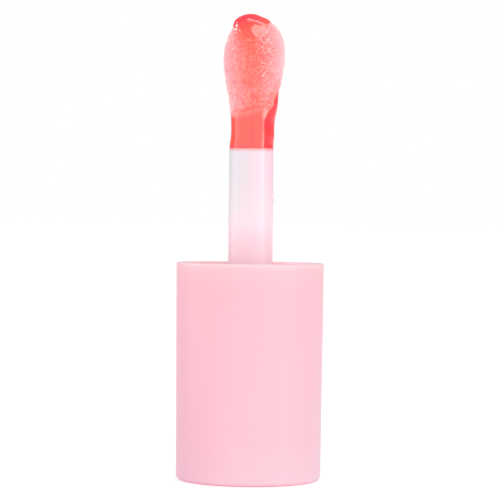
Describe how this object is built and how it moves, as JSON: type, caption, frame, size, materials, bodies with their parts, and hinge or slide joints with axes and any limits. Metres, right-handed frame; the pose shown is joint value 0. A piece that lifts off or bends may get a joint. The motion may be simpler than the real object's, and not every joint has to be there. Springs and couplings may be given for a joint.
{
  "type": "lip gloss cap with applicator wand",
  "caption": "Pink screw cap of a lip gloss or lip oil tube, standing on its closed end, with its wand and soft flocked applicator tip wet with coral gloss.",
  "frame": {"origin": "centre of the cap's closed end, on the surface that the cap stands on", "axes": "+Z from the closed end along the wand to the applicator; the applicator is wide along X and thin along Y, and its slanted working face looks along -Y"},
  "size_m": [0.02, 0.02, 0.0633],
  "materials": {
    "outer_cap": "smooth satin pearly pink",
    "thread_insert": "natural polypropylene",
    "sealing_washer": "natural polyethylene foam",
    "stem": "translucent, wetted with gloss",
    "tip_core": "soft translucent elastomer",
    "flock_coat": "short nylon flock soaked with gloss",
    "gloss_film": "wet sheer coral gloss",
    "gloss_bead": "wet sheer coral gloss"
  },
  "bodies": {
    "cap_and_wand": {"outer_cap": "outer_cap", "thread_insert": "thread_insert", "sealing_washer": "sealing_washer", "stem": "stem"},
    "tip": {"tip_core": "tip_core", "flock_coat": "flock_coat", "gloss_film": "gloss_film", "gloss_bead": "gloss_bead"}
  },
  "joints": [
    {"name": "tip_flex", "type": "hinge", "parent": "cap_and_wand", "child": "tip", "pos_m": [0, 0, 0.0471], "axis": [1, 0, 0], "range_deg": [-12, 12], "stiffness_Nm_per_rad": 0.08, "deforming": ["tip_core", "gloss_film"]}
  ]
}
